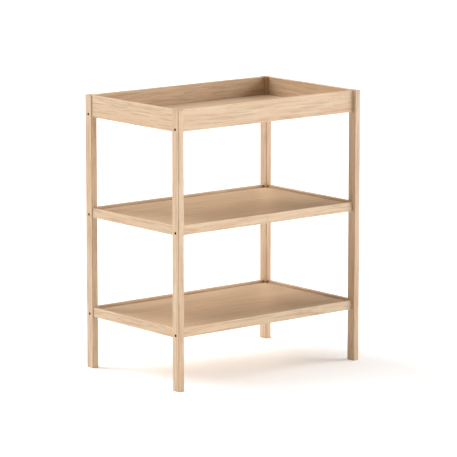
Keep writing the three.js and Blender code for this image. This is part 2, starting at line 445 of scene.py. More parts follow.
class GeometryTree(Graph):
    """A Geometry Nodes tree with named inputs, which ends in Realize Instances and Set Material."""

    def __init__(self, name: str, inputs: Optional[Mapping[str, str]] = None) -> None:
        """Starts a tree.

        Args:
            name: the tree's name.
            inputs: the socket type of each input besides the marks and the material, by its name.
        """
        super().__init__(bpy.data.node_groups.new(name, "GeometryNodeTree"))
        face = self.tree.interface
        face.new_socket(name="Marks", in_out="INPUT", socket_type="NodeSocketGeometry")
        for key, kind in {**(inputs or {}), "Material": "NodeSocketMaterial"}.items():
            face.new_socket(name=key, in_out="INPUT", socket_type=kind)
        face.new_socket(name="Piece", in_out="OUTPUT", socket_type="NodeSocketGeometry")
        self.given = self.add("NodeGroupInput")

    def named(self, name: str, kind: str) -> Field:
        """An attribute of the geometry, by its name and data type."""
        return self.add("GeometryNodeInputNamedAttribute", {"data_type": kind}, {"Name": name})[0]

    def rotation(self, euler: Value) -> Field:
        """A rotation from its Euler angles."""
        return self.add("FunctionNodeEulerToRotation", inputs={"Euler": euler})["Rotation"]

    def at_marks(self, shape: Field, where: Value = True) -> Field:
        """Puts a shape at each mark, turned and sized as the mark says.

        Args:
            shape: the shape.
            where: which of the marks it is put at.

        Returns:
            The shapes, realized.
        """
        stood = self.add(
            "GeometryNodeInstanceOnPoints",
            inputs={
                "Points": self.given["Marks"],
                "Selection": where,
                "Instance": shape,
                "Rotation": self.rotation(self.named("turn", "FLOAT_VECTOR")),
                "Scale": self.named("size", "FLOAT_VECTOR"),
            },
        )["Instances"]
        return self.add("GeometryNodeRealizeInstances", inputs={"Geometry": stood})["Geometry"]

    def cylinder(self, radius: float, depth: float, steps: int) -> Field:
        """An upright cylinder about the origin."""
        inputs = {"Vertices": steps, "Radius": radius, "Depth": depth}
        return self.add("GeometryNodeMeshCylinder", inputs=inputs)["Mesh"]

    def cone(self, bottom: float, top: float, depth: float, steps: int) -> Field:
        """An upright cone that stands on the origin, by its two radii."""
        inputs = {"Vertices": steps, "Radius Bottom": bottom, "Radius Top": top, "Depth": depth}
        return self.add("GeometryNodeMeshCone", inputs=inputs)["Mesh"]

    def block(self, size: Sequence[float]) -> Field:
        """An upright box about the origin."""
        return self.add("GeometryNodeMeshCube", inputs={"Size": size})["Mesh"]

    def place(self, shape: Field, at: Value, euler: Value = (0.0, 0.0, 0.0)) -> Field:
        """A shape turned about the origin and then moved."""
        inputs = {"Geometry": shape, "Translation": at, "Rotation": self.rotation(euler)}
        return self.add("GeometryNodeTransform", inputs=inputs)["Geometry"]

    def _joined(self, operation: str, meshes: Mapping[str, Any]) -> Field:
        """Puts meshes that may cross themselves through an exact Mesh Boolean.

        Args:
            operation: the node's operation.
            meshes: what its mesh sockets hold, by their names.

        Returns:
            The solid.
        """
        inputs = {**meshes, "Self Intersection": True}
        settings = {"operation": operation, "solver": "EXACT"}
        return self.add("GeometryNodeMeshBoolean", settings, inputs)["Mesh"]

    def union(self, *shapes: Field) -> Field:
        """Several solids as one."""
        return self._joined("UNION", {"Mesh 2": list(shapes)})

    def cut(self, solid: Field, *tools: Field) -> Field:
        """A solid with tools taken out of it."""
        return self._joined("DIFFERENCE", {"Mesh 1": solid, "Mesh 2": list(tools)})

    def spaced_path(self, count: int, height: Field) -> Field:
        """A path up Z.

        Args:
            count: how many points it has.
            height: the height of each point.

        Returns:
            The path.
        """
        line = self.add("GeometryNodeCurvePrimitiveLine", inputs={"End": (0.0, 0.0, 1.0)})["Curve"]
        path = self.add("GeometryNodeResampleCurve", inputs={"Curve": line, "Count": count})["Curve"]
        inputs = {"Geometry": path, "Position": self.combine(0.0, 0.0, height)}
        return self.add("GeometryNodeSetPosition", inputs=inputs)["Geometry"]

    def turned(self, profile: Sequence[tuple[float, float]], steps: int) -> Field:
        """A solid turned about Z.

        Args:
            profile: the height and radius of each ring, from the lowest up.
            steps: how many sides it has.

        Returns:
            The solid.
        """
        index = self.add("GeometryNodeInputIndex")["Index"]
        height, radius = (
            self.add(
                "GeometryNodeIndexSwitch",
                {"data_type": "FLOAT", "choices": len(profile)},
                {"Index": index, **{str(i): ring[part] for i, ring in enumerate(profile)}},
            )["Output"]
            for part in range(2)
        )
        inputs = {"Resolution": steps, "Radius": 1.0}
        circle = self.add("GeometryNodeCurvePrimitiveCircle", inputs=inputs)["Curve"]
        inputs = {
            "Curve": self.spaced_path(len(profile), height),
            "Profile Curve": circle,
            "Scale": radius,
            "Fill Caps": True,
        }
        return self.add("GeometryNodeCurveToMesh", inputs=inputs)["Mesh"]

    def fluted(self, solid: Field, count: int, depth: float, low: float, high: float) -> Field:
        """Grooves along the side of a turned solid.

        Args:
            solid: the solid.
            count: how many grooves there are round it.
            depth: how deep they are.
            low: the height that they start at.
            high: the height that they end at.

        Returns:
            The grooved solid.
        """
        x, y, z = self.split(self.add("GeometryNodeInputPosition")["Position"])
        wave = 0.5 - 0.5 * self.maths("COSINE", self.maths("ARCTAN2", y, x) * count)
        inside = self.maths("GREATER_THAN", z, low) * self.maths("LESS_THAN", z, high)
        outward = self.vector("NORMALIZE", self.combine(x, y, 0.0))
        inputs = {"Geometry": solid, "Offset": outward * (wave * inside * -depth)}
        return self.add("GeometryNodeSetPosition", inputs=inputs)["Geometry"]

    def end(self, shape: Field, sharp_angle: float = math.radians(32)) -> None:
        """Shades a shape, realizes it, gives it its material and puts it out.

        Args:
            shape: the finished shape.
            sharp_angle: edges that turn by more than this stay sharp.
        """
        inputs = {"Geometry": shape, "Distance": WELD}
        clean = self.add("GeometryNodeMergeByDistance", inputs=inputs)["Geometry"]
        inputs = {"Geometry": clean, "Shade Smooth": True}
        smooth = self.add("GeometryNodeSetShadeSmooth", {"domain": "FACE"}, inputs)["Geometry"]
        angle = self.add("GeometryNodeInputMeshEdgeAngle")["Unsigned Angle"]
        sharp = self.maths("GREATER_THAN", angle, sharp_angle)
        inputs = {"Geometry": smooth, "Selection": sharp, "Shade Smooth": False}
        shaded = self.add("GeometryNodeSetShadeSmooth", {"domain": "EDGE"}, inputs)["Geometry"]
        real = self.add("GeometryNodeRealizeInstances", inputs={"Geometry": shaded})["Geometry"]
        inputs = {"Geometry": real, "Material": self.given["Material"]}
        dressed = self.add("GeometryNodeSetMaterial", inputs=inputs)["Geometry"]
        self.add("NodeGroupOutput", inputs={0: dressed})

    def run(self, name: str, marks: Iterable["Mark"], **values: Any) -> bpy.types.Object:
        """Runs the tree and keeps what it makes as a plain mesh.

        Args:
            name: the piece's name.
            marks: the marks that it works on.
            **values: its named inputs, in small letters and with _ for a space.

        Returns:
            The piece, at the origin.
        """
        piece = marked(name, marks)
        modifier = piece.modifiers.new(self.tree.name, "NODES")
        modifier.node_group = self.tree
        for item in self.tree.interface.items_tree:
            key = item.name.replace(" ", "_").lower()
            if item.in_out == "INPUT" and key in values:
                modifier[item.identifier] = values[key]
        evaluated = piece.evaluated_get(bpy.context.evaluated_depsgraph_get())
        made = bpy.data.meshes.new_from_object(evaluated)
        piece.modifiers.remove(modifier)
        bare, piece.data = piece.data, made
        bpy.data.meshes.remove(bare)
        for extra in Mark.ATTRIBUTES:
            if extra in made.attributes:
                made.attributes.remove(made.attributes[extra])
        even_shading(piece)
        return piece


# ---------------------------------------------------------------------------------------------
# Places and marks
# ---------------------------------------------------------------------------------------------


@dataclass(frozen=True)
class Box:
    """An upright box in the frame.

    Attributes:
        low: its lowest corner.
        high: its highest corner.
    """

    low: Vector
    high: Vector

    @classmethod
    def of(cls, node: str) -> "Box":
        """The box of a CAD node."""
        return cls(*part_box(node))

    @property
    def centre(self) -> Vector:
        """The middle of the box."""
        return (self.low + self.high) / 2

    @property
    def size(self) -> Vector:
        """The box's size along each axis."""
        return self.high - self.low

    def spanning(self, axis: Axis, start: float, end: float) -> "Box":
        """The box with another extent along one axis.

        Args:
            axis: the axis.
            start: one end of the extent.
            end: its other end, on either side of the first.

        Returns:
            The new box.
        """
        low, high = self.low.copy(), self.high.copy()
        low[axis.value], high[axis.value] = min(start, end), max(start, end)
        return Box(low, high)

    def thinned(self, axis: Axis, size: float) -> "Box":
        """The box with another size about its centre along one axis."""
        middle = self.centre[axis.value]
        return self.spanning(axis, middle - size / 2, middle + size / 2)

    def grown(self, by: float) -> "Box":
        """The box with every face moved outwards."""
        room = Vector((by, by, by))
        return Box(self.low - room, self.high + room)


@dataclass(frozen=True)
class Mark:
    """A point that a shape is put at.

    Attributes:
        place: where it is.
        size: what the unit shape is scaled by.
        toward: the way that the shape's Z points.
        work: what the mark asks for, on a board.
    """

    ATTRIBUTES = ("size", "turn", "work", "inset")

    place: Vector
    size: Vector = field(default_factory=lambda: Vector((1.0, 1.0, 1.0)))
    toward: Vector = field(default_factory=lambda: Vector((0.0, 0.0, 1.0)))
    work: Work = Work.DRILL

    @classmethod
    def drill(cls, start: Vector, end: Vector, diameter: float) -> "Mark":
        """A round hole, by the two ends of its axis."""
        size = Vector((diameter, diameter, (end - start).length))
        return cls((start + end) / 2, size, end - start)

    @classmethod
    def countersink(cls, mouth: Vector, inward: Vector, diameter: float, depth: float) -> "Mark":
        """A cone that eases the mouth of a round hole, by its widest diameter."""
        return cls(mouth, Vector((diameter, diameter, depth)), inward, Work.COUNTERSINK)

    @classmethod
    def block(cls, box: Box, work: Work) -> "Mark":
        """A box that is taken out of a board or left standing on it."""
        return cls(box.centre, box.size, work=work)

    @property
    def turn(self) -> Euler:
        """The Euler angles that turn Z onto the mark's own way."""
        return self.toward.to_track_quat("Z", "Y").to_euler()


def marked(name: str, marks: Iterable[Mark]) -> bpy.types.Object:
    """Makes an object whose vertices are marks.

    Args:
        name: the object's name.
        marks: the marks.

    Returns:
        The object, at the origin.
    """
    listed = list(marks)
    mesh = bpy.data.meshes.new(name)
    mesh.from_pydata([mark.place for mark in listed], [], [])
    for key in ("size", "turn"):
        attribute = mesh.attributes.new(key, "FLOAT_VECTOR", "POINT")
        for item, mark in zip(attribute.data, listed):
            item.vector = getattr(mark, key)
    attribute = mesh.attributes.new("work", "INT", "POINT")
    for item, mark in zip(attribute.data, listed):
        item.value = int(mark.work)
    return linked(name, mesh)


def linked(name: str, mesh: bpy.types.Mesh) -> bpy.types.Object:
    """Makes an object and links it to the scene.

    Args:
        name: the object's name.
        mesh: its mesh.

    Returns:
        The object, at the origin.
    """
    piece = bpy.data.objects.new(name, mesh)
    bpy.context.scene.collection.objects.link(piece)
    return piece


def even_shading(piece: bpy.types.Object) -> None:
    """Keeps flat faces evenly shaded beside rounded edges.

    Args:
        piece: the piece.
    """
    modifier = piece.modifiers.new("even_shading", "WEIGHTED_NORMAL")
    modifier.keep_sharp = True
    modifier.weight = 100


def settle(piece: bpy.types.Object, nodes: Sequence[str]) -> None:
    """Ties a finished piece to the frame.

    Args:
        piece: the piece.
        nodes: the CAD nodes that it stands for.
    """
    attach(piece, BODY)
    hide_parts(*nodes)
    LOG.info("%s: %d faces, for %d nodes", piece.name, len(piece.data.polygons), len(nodes))


# ---------------------------------------------------------------------------------------------
# Finishes
# ---------------------------------------------------------------------------------------------


@dataclass(frozen=True)
class LogCut:
    """Where in the log a board was sawn, which gives each board its own figure.

    Attributes:
        along: how far up the log the board's middle is.
        pith: how far the log's centre is from the board's middle, both ways across the grain.
        lean: how far the grain leans off the board's length, both ways, in radians.
        tone: how light the board is beside the others.
        warmth: how much of the warm colour the board has, from 0 to 1.
    """

    along: float
    pith: tuple[float, float]
    lean: tuple[float, float]
    tone: float
    warmth: float

    @classmethod
    def drawn(cls, name: str) -> "LogCut":
        """Draws a board's cut, always the same one for the same name.

        Args:
            name: the board's name.

        Returns:
            The cut.
        """
        draw = random.Random(name)
        angle = draw.uniform(0.0, 2 * math.pi)
        reach = draw.uniform(0.09, 0.22)
        return cls(
            along=draw.uniform(-4.0, 4.0),
            pith=(reach * math.cos(angle), reach * math.sin(angle)),
            lean=(draw.gauss(0.0, 0.008), draw.gauss(0.0, 0.008)),
            tone=draw.uniform(0.975, 1.025),
            warmth=draw.uniform(0.25, 0.75),
        )


@dataclass(frozen=True)
class Beech:
    """Steamed beech under a thin matt lacquer.

    Attributes:
        pale: colour of the palest wood.
        body: colour of most of the wood.
        warm: colour of the pinker wood.
        deep: colour of late wood and of the flecks.
        end: colour that end grain turns to.
        bored: near-black painted shade inside holes, grooves and mortises.
        ring: width of a year's growth.
        roughness: roughness of the lacquer.
        wear: width of the arris band: painted shade on legs, painted highlight on rails.
        bored_depths: depths inside a hole at which the painted shade begins and is darkest.
        relief: how deep the pores are.
    """

    pale: Triple = (0.63, 0.478, 0.320)
    body: Triple = (0.578, 0.413, 0.265)
    warm: Triple = (0.568, 0.376, 0.226)
    deep: Triple = (0.375, 0.232, 0.130)
    end: Triple = (0.441, 0.297, 0.18)
    bored: Triple = (0.02, 0.012, 0.007)
    ring: float = 2.6 * MM
    roughness: float = 0.46
    wear: float = 3.4 * MM
    bored_depths: tuple[float, float] = (0.7 * MM, 1.0 * MM)
    relief: float = 0.06 * MM

    def material(self, name: str, grain: Axis, box: Box) -> bpy.types.Material:
        """Makes the material of one board.

        Args:
            name: the board's name, which its cut is drawn from.
            grain: the axis that the grain runs along.
            box: the board's own box.

        Returns:
            The material.
        """
        cut = LogCut.drawn(name)
        g = ShaderGraph(f"{name}_beech")
        coordinates = g.add("ShaderNodeTexCoord")
        place = coordinates["Object"]
        turn = Euler(Vector(grain.to_grain) + Vector((0.0, *cut.lean)))
        shift = Vector((cut.along, *cut.pith)) - turn.to_matrix() @ box.centre
        inputs = {"Vector": place, "Rotation": turn, "Location": shift}
        log = g.add("ShaderNodeMapping", inputs=inputs)["Vector"]
        x, y, z = g.split(log)

        wander = g.noise(g.combine(x * 1.6, y * 9.0, z * 9.0), 1.0, 3.0)
        radius = g.vector("LENGTH", g.combine(0.0, y, z)) + (wander - 0.5) * 0.03
        seasons = g.noise(radius, 150.0, 4.0, 0.72, "1D")
        year = g.maths("FRACT", radius / self.ring)
        late = g.step(year, 0.45, 0.98) * g.step(seasons, 0.42, 0.62)
        sway = g.noise(g.combine(x * 6.0, y * 25.0, z * 25.0), 1.0, 1.0) * 0.012
        streaks = g.noise(g.combine(x * 8.0, (y + sway) * 190.0, (z + sway) * 190.0), 1.0, 3.0, 0.6)
        bands = g.noise(g.combine(x * 3.5, (y + sway) * 70.0, (z + sway) * 70.0), 1.0, 2.0)
        fibre = g.noise(g.combine(x * 5.0, y * 430.0, z * 430.0), 1.0, 3.0, 0.62)
        cloud = g.noise(g.combine(x * 5.0, y * 34.0, z * 34.0), 1.0, 2.0)
        rays = g.noise(g.combine(x * 230.0, y * 2300.0, z * 1500.0), 1.0, 1.0)
        flecks = g.step(rays, 0.60, 0.70)
        across = abs(g.vector("DOT_PRODUCT", coordinates["Normal"], grain.unit))
        end = g.step(across, 0.55, 0.95)

        colour = g.layered(
            self.body,
            (g.step(cloud, 0.42, 0.62) * (0.35 + cut.warmth), self.warm),
            (g.step(bands, 0.46, 0.64) * 0.6, self.pale),
            (g.step(streaks, 0.49, 0.62) * 0.5, self.deep),
            (g.step(fibre, 0.52, 0.70) * 0.3, self.deep),
            (late * 0.3, self.deep),
            (flecks * 0.32, self.deep),
            (end * 0.5, self.end),
        )
        depths = g.split(tuple(box.size / 2) - g.vector("ABSOLUTE", place - tuple(box.centre)))
        patchy = 0.6 + 0.4 * g.step(g.noise(place, 45.0, 3.0), 0.35, 0.65)
        # Painted light along the arrises, in patches: painted shade on the legs, a painted highlight
        # on the rails; the band is also a little glossier.
        arris_band = g.step(self._arris(g, depths), 0.2, 0.75) * patchy
        painted_arris_light = (self.deep, 0.8) if grain is Axis.Z else (self.pale, 0.4)
        colour = g.mix(arris_band * painted_arris_light[1], colour, painted_arris_light[0]) * cut.tone
        # Painted shade: points deeper than 0.7 mm inside the board's box, on the walls of holes,
        # grooves and mortises, turn near black.
        innermost = g.maths("MINIMUM", g.maths("MINIMUM", depths[0], depths[1]), depths[2])
        colour = g.mix(g.step(innermost, *self.bored_depths) * 0.95, colour, self.bored)

        rough = self.roughness + (fibre - 0.5) * 0.16 + flecks * 0.08 + end * 0.14 - arris_band * 0.06
        relief = fibre * 0.55 + seasons * 0.25 - flecks * 0.5 + 0.5
        return g.finish(
            Base_Color=colour,
            Roughness=rough,
            Normal=g.bump(relief, self.relief, 0.6),
            Coat_Weight=0.08,
            Coat_Roughness=0.35,
        )

    def _arris(self, g: ShaderGraph, depths: Sequence[Field]) -> Field:
        """How near a point is to an arris of the board.

        Args:
            g: the material's graph.
            depths: how deep the point is in the board's box, along each axis.

        Returns:
            1 on the arris, and 0 further from it than the arris band is wide.
        """
        near = [1.0 - g.maths("DIVIDE", depth, self.wear, clamp=True) for depth in depths]
        pairs = [near[0] * near[1], near[1] * near[2], near[2] * near[0]]
        return g.maths("MAXIMUM", g.maths("MAXIMUM", pairs[0], pairs[1]), pairs[2])


@dataclass(frozen=True)
class BeechVeneer:
    """Sliced beech veneer on thin board: leaves of one flitch laid side by side.

    Attributes:
        pale: colour of the palest wood.
        body: colour of most of the wood.
        deep: colour of late wood and of the flecks.
        leaf: width of one leaf.
        ring: spacing of the growth lines.
        roughness: roughness of the lacquer.
        pooled: width of the painted shade along the rails, where the panel meets them.
    """

    pale: Triple = (0.63, 0.466, 0.305)
    body: Triple = (0.559, 0.391, 0.245)
    deep: Triple = (0.37, 0.227, 0.128)
    leaf: float = 145 * MM
    ring: float = 4.5 * MM
    roughness: float = 0.42
    pooled: float = 2.6 * MM

    def material(self, name: str, half_x: float, half_y: float) -> bpy.types.Material:
        """Makes the material of one panel, whose grain runs along X.

        Args:
            name: the panel's name, which its cut is drawn from.
            half_x: half the length that shows between the rails.
            half_y: half the width that shows between the rails.

        Returns:
            The material.
        """
        cut = LogCut.drawn(name)
        g = ShaderGraph(f"{name}_veneer")
        place = g.add("ShaderNodeTexCoord")["Object"]
        shift = (cut.along, self.leaf / 2, cut.pith[0])
        x, y, _ = g.split(g.add("ShaderNodeMapping", inputs={"Vector": place, "Location": shift})[0])
        sheet = g.maths("FLOOR", y / self.leaf)
        within = y - sheet * self.leaf
        slip = sheet * 0.37

        wander = g.noise(g.combine(x * 1.4, within * 9.0, slip), 1.0, 3.0)
        sweep = within + (wander - 0.5) * 0.06
        seasons = g.noise(sweep + slip, 90.0, 4.0, 0.7, "1D")
        year = g.maths("FRACT", sweep / self.ring)
        late = g.step(year, 0.5, 0.98) * g.step(seasons, 0.42, 0.62)
        sway = g.noise(g.combine(x * 4.0, y * 20.0, slip), 1.0, 1.0) * 0.012
        streaks = g.noise(g.combine(x * 5.0, (y + sway) * 150.0, slip), 1.0, 3.0, 0.6)
        bands = g.noise(g.combine(x * 2.2, (y + sway) * 46.0, slip), 1.0, 2.0)
        fibre = g.noise(g.combine(x * 4.5, y * 380.0, slip), 1.0, 3.0, 0.62)
        flecks = g.step(g.noise(g.combine(x * 230.0, y * 2100.0, slip), 1.0, 1.0), 0.60, 0.70)
        seam = 1.0 - g.step(g.maths("PINGPONG", y, self.leaf / 2), 0.1 * MM, 0.5 * MM)
        leaf_tone = g.add("ShaderNodeTexWhiteNoise", {"noise_dimensions": "1D"}, {"W": sheet})[0]

        colour = g.layered(
            self.body,
            (g.step(bands, 0.44, 0.62) * 0.65, self.pale),
            (g.step(streaks, 0.47, 0.66) * 0.38, self.deep),
            (g.step(fibre, 0.50, 0.72) * 0.24, self.deep),
            (late * 0.26, self.deep),
            (flecks * 0.3, self.deep),
            (seam * 0.35, self.deep),
        )
        colour = colour * (0.97 + 0.06 * leaf_tone)
        # Painted contact shade: the panel darkens towards the rails' inner faces, down to 0.3 of its
        # colour at the edge.
        edges = g.split((half_x, half_y, 0.0) - g.vector("ABSOLUTE", place))
        pooled = 1.0 - g.step(g.maths("MINIMUM", edges[0], edges[1]), 0.0, self.pooled)
        colour = colour * (1.0 - pooled * 0.7)
        rough = self.roughness + (fibre - 0.5) * 0.14 + flecks * 0.07
        relief = fibre * 0.6 - flecks * 0.5 - seam * 0.8 + 0.8
        return g.finish(
            Base_Color=colour,
            Roughness=rough,
            Normal=g.bump(relief, 0.05 * MM, 0.5),
            Coat_Weight=0.08,
            Coat_Roughness=0.35,
        )


@dataclass(frozen=True)
class RawBirch:
    """Raw birch of the dowels.

    Attributes:
        body: colour of the wood.
        deep: colour of its darker fibres.
    """

    body: Triple = (0.68, 0.50, 0.31)
    deep: Triple = (0.45, 0.29, 0.16)

    def material(self) -> bpy.types.Material:
        """Makes the material of the dowels, whose grain runs along X.

        Returns:
            The material.
        """
        g= ShaderGraph("raw_birch")
        x, y, z = g.split(g.add("ShaderNodeTexCoord")["Object"])
        fibre = g.noise(g.combine(x * 40.0, y * 1600.0, z * 1600.0), 1.0, 3.0, 0.6)
        colour = g.mix(g.step(fibre, 0.4, 0.75) * 0.5, self.body, self.deep)
        rough = 0.62 + (fibre - 0.5) * 0.2
        return g.finish(Base_Color=colour, Roughness=rough, Normal=g.bump(fibre, 0.05 * MM, 0.5))


@dataclass(frozen=True)
class BlackOxide:
    """Black oxide on steel, rubbed a little by the key.

    Attributes:
        oxide: colour of the oxide.
        rubbed: colour of the steel that shows through.
    """

    oxide: Triple = (0.006, 0.0055, 0.005)
    rubbed: Triple = (0.035, 0.033, 0.031)

    def material(self) -> bpy.types.Material:
        """Makes the material of the bolts.

        Returns:
            The material.
        """
        g= ShaderGraph("black_oxide")
        place = g.add("ShaderNodeTexCoord")["Object"]
        cloud = g.noise(place, 900.0, 3.0, 0.6)
        grit = g.noise(place, 5200.0)
        rubbed = g.step(cloud, 0.58, 0.74) * 0.5
        return g.finish(
            Base_Color=g.mix(rubbed, self.oxide, self.rubbed),
            Metallic=rubbed * 0.8,
            Specular_IOR_Level=0.12,
            Roughness=0.5 + (cloud - 0.5) * 0.2 + (grit - 0.5) * 0.12,
            Normal=g.bump(grit, 0.01 * MM, 0.4),
        )


@dataclass(frozen=True)
class ZincPlate:
    """Bright zinc plate on turned steel.

    Attributes:
        bright: colour of clean plate.
        dull: colour of its duller patches.
    """

    bright: Triple = (0.60, 0.60, 0.59)
    dull: Triple = (0.40, 0.40, 0.41)

    def material(self) -> bpy.types.Material:
        """Makes the material of the barrel nuts, whose tool marks run round Z.

        Returns:
            The material.
        """
        g= ShaderGraph("zinc_plate")
        place = g.add("ShaderNodeTexCoord")["Object"]
        x, y, z = g.split(place)
        cloud = g.noise(place, 420.0)
        turned = g.noise(g.combine(x * 60.0, y * 60.0, z * 9000.0))
        return g.finish(
            Base_Color=g.mix(g.step(cloud, 0.4, 0.7) * 0.6, self.bright, self.dull),
            Metallic=1.0,
            Roughness=0.3 + (turned - 0.5) * 0.25 + (cloud - 0.5) * 0.1,
            Normal=g.bump(turned, 0.01 * MM, 0.35),
        )


# ---------------------------------------------------------------------------------------------
# Joinery
# ---------------------------------------------------------------------------------------------


@dataclass(frozen=True)
class Joinery:
    """The holes, tenons and grooves that the boards share, each read off the nodes it holds.

    Attributes:
        gap: room left round everything that sits in wood.
        bolt_diameter: diameter of a bolt's shank.
        head_diameter: diameter of a bolt's head.
        counterbore_depth: how deep a head's recess is.
        dowel_diameter: diameter of a dowel.
        nut_diameter: diameter of a barrel nut.
        bolt_end_room: room left past the end of a bolt.
        tenon_thickness: thickness of an end rail's tenons.
        tenon_shoulder: how far a tenon is set down from the edges of its rail.
        groove_depth: how deep the panels' grooves are.
        groove_stop: how far short of a leg a long rail's groove stops.
        ease: how far the mouth of a visible hole is eased.
    """

    gap: float = 0.3 * MM
    bolt_diameter: float = 5 * MM
    head_diameter: float = 8 * MM
    counterbore_depth: float = 7 * MM
    dowel_diameter: float = 6 * MM
    nut_diameter: float = 8 * MM
    bolt_end_room: float = 2 * MM
    tenon_thickness: float = 5 * MM
    tenon_shoulder: float = 5 * MM
    groove_depth: float = 3 * MM
    groove_stop: float = 50 * MM
    ease: float = 0.3 * MM

    def _along_x(self, box: Box, start: float, end: float, diameter: float) -> Mark:
        """A hole along X through the middle of a box, from one x to another."""
        _, y, z = box.centre
        return Mark.drill(Vector((start, y, z)), Vector((end, y, z)), diameter + 2 * self.gap)

    def bolt_hole(self, tier: Tier, corner: Corner) -> Mark:
        """The hole for a bolt's shank, through the leg and into the rail.

        Args:
            tier: the tier that the bolt holds.
            corner: the corner that it is at.

        Returns:
            The hole's mark.
        """
        bolt = Box.of(tier.node(f"bolt_{corner.value}"))
        tip, head = sorted((bolt.low.x, bolt.high.x), key=abs)
        start = tip - corner.side_x * self.bolt_end_room
        return self._along_x(bolt, start, head + corner.side_x * NUDGE, self.bolt_diameter)

    def counterbore(self, tier: Tier, corner: Corner) -> list[Mark]:
        """The recess for a bolt's head in the outer face of the leg, and its eased mouth.

        Args:
            tier: the tier that the bolt holds.
            corner: the corner that it is at.

        Returns:
            The marks of the recess and of its mouth.
        """
        bolt = Box.of(tier.node(f"bolt_{corner.value}"))
        leg = Box.of(f"leg_{corner.value}")
        face = max(leg.low.x, leg.high.x, key=abs)
        floor = face - corner.side_x * self.counterbore_depth
        recess = self._along_x(bolt, floor, face + corner.side_x * NUDGE, self.head_diameter)
        wide = self.head_diameter + 2 * (self.gap + self.ease)
        mouth = Vector((face, bolt.centre.y, bolt.centre.z))
        inward = Vector((-corner.side_x, 0.0, 0.0))
        return [recess, Mark.countersink(mouth, inward, wide, self.ease)]

    def dowel_hole(self, tier: Tier, corner: Corner) -> Mark:
        """The hole for a dowel, partly in the leg and partly in the rail.

        Args:
            tier: the tier that the dowel holds.
            corner: the corner that it is at.

        Returns:
            The hole's mark.
        """
        dowel = Box.of(tier.node(f"dowel_{corner.value}"))
        start, end = dowel.low.x - self.gap, dowel.high.x + self.gap
        return self._along_x(dowel, start, end, self.dowel_diameter)

    def nut_hole(self, tier: Tier, corner: Corner) -> list[Mark]:
        """The hole for a barrel nut, up into the rail, and its eased mouth.

        Args:
            tier: the tier that the nut holds.
            corner: the corner that it is at.

        Returns:
            The marks of the hole and of its mouth.
        """
        nut = Box.of(tier.node(f"nut_{corner.value}"))
        x, y, _ = nut.centre
        side = "back" if corner.side_y > 0 else "front"
        bottom = Box.of(tier.node(f"rail_{side}")).low.z
        start, end = Vector((x, y, bottom - NUDGE)), Vector((x, y, nut.high.z + self.gap))
        wide = self.nut_diameter + 2 * (self.gap + self.ease)
        mouth = Mark.countersink(Vector((x, y, bottom)), Vector((0, 0, 1)), wide, self.ease)
        return [Mark.drill(start, end, self.nut_diameter + 2 * self.gap), mouth]

    def tenon(self, rail: str) -> Box:
        """The bar that stands out of both ends of an end rail.

        Args:
            rail: the rail's node.

        Returns:
            The bar's box, as long as the rail.
        """
        whole = Box.of(rail)
        height = whole.size.z - 2 * self.tenon_shoulder
        return whole.thinned(Axis.X, self.tenon_thickness).thinned(Axis.Z, height)

    def mortise(self, rail: str) -> Mark:
        """The pockets that both tenons of an end rail go into."""
        return Mark.block(self.tenon(rail).grown(self.gap), Work.POCKET)

    def groove(self, rail: str, panel: str, axis: Axis, half: float) -> Mark:
        """The groove that holds an edge of a panel.

        Args:
            rail: the rail that it is in.
            panel: the panel that it holds.
            axis: the axis that the rail runs along.
            half: half the groove's length.

        Returns:
            The groove's mark.
        """
        beside = Axis.Y if axis is Axis.X else Axis.X
        whole = Box.of(rail)
        inner = min(whole.low[beside.value], whole.high[beside.value], key=abs)
        side = math.copysign(1.0, inner)
        seat = Box.of(panel).grown(self.gap).spanning(axis, -half, half)
        bottom, mouth = inner + side * self.groove_depth, inner - side * NUDGE
        return Mark.block(seat.spanning(beside, bottom, mouth), Work.POCKET)


